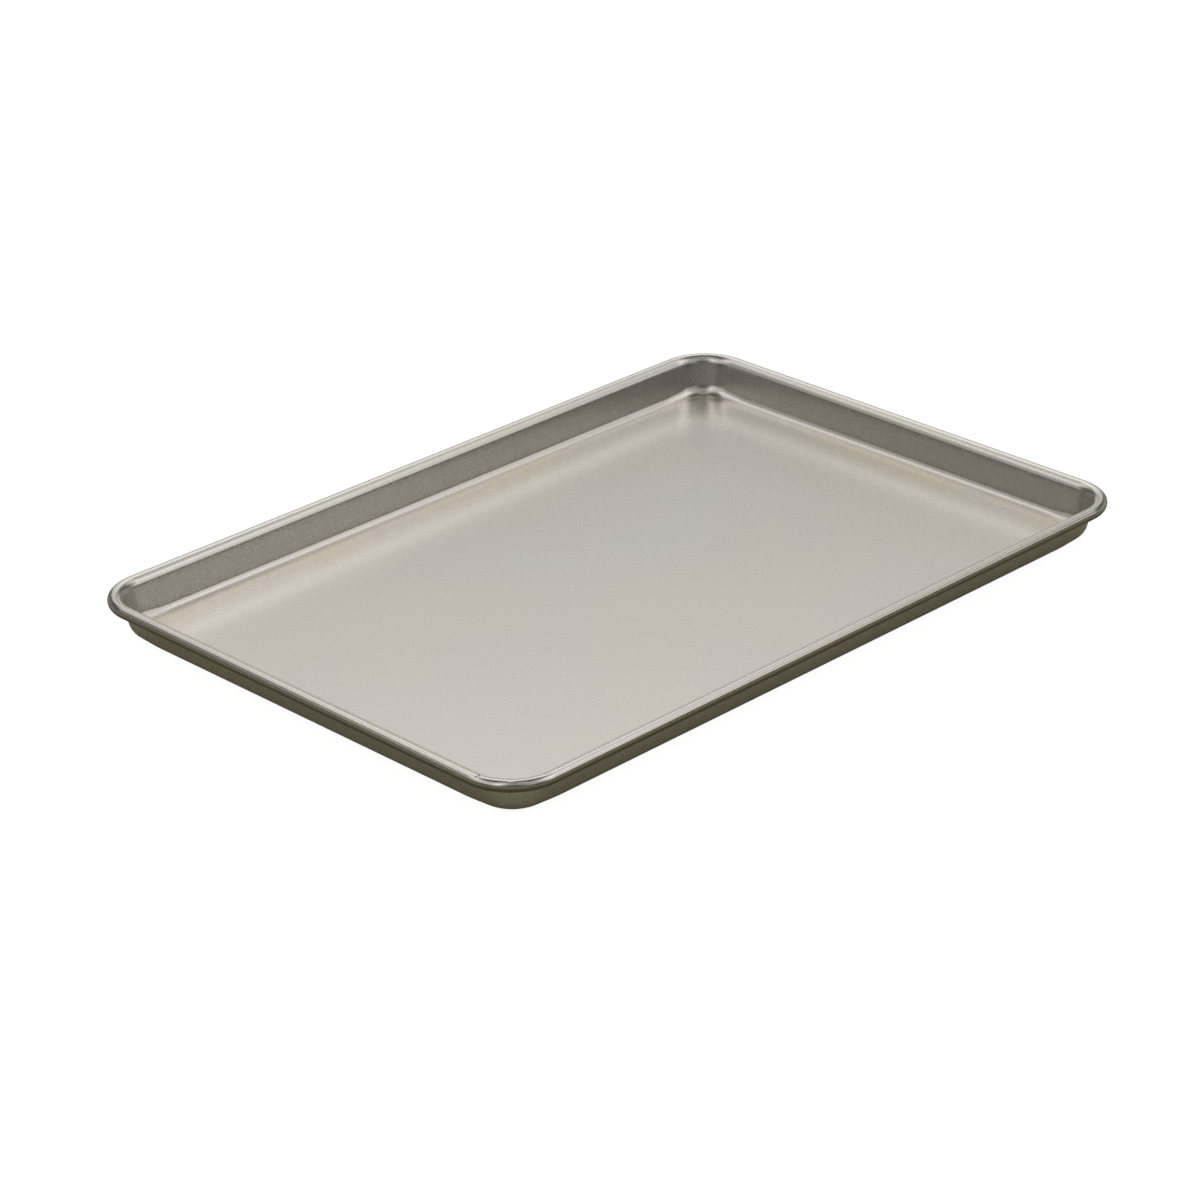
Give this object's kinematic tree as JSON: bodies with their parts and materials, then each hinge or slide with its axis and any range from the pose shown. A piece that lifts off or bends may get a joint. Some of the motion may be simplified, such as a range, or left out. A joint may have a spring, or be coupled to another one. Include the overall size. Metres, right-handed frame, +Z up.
{
  "type": "jelly roll pan",
  "caption": "Shallow rectangular baking pan pressed from sheet steel, with leaning walls, rounded corners and a rim rolled outward round a wire.",
  "frame": {"origin": "on the surface the pan stands on, under the middle of its floor", "axes": "+X along the long sides, +Y along the short sides, +Z up out of the pan"},
  "size_m": [0.405, 0.277, 0.02],
  "materials": {
    "aluminised_steel": "satin, warm grey",
    "galvanised_wire": "dull, zinc grey"
  },
  "bodies": {
    "root": {"pan_tray": "aluminised_steel", "rim_wire": "galvanised_wire"}
  },
  "joints": []
}
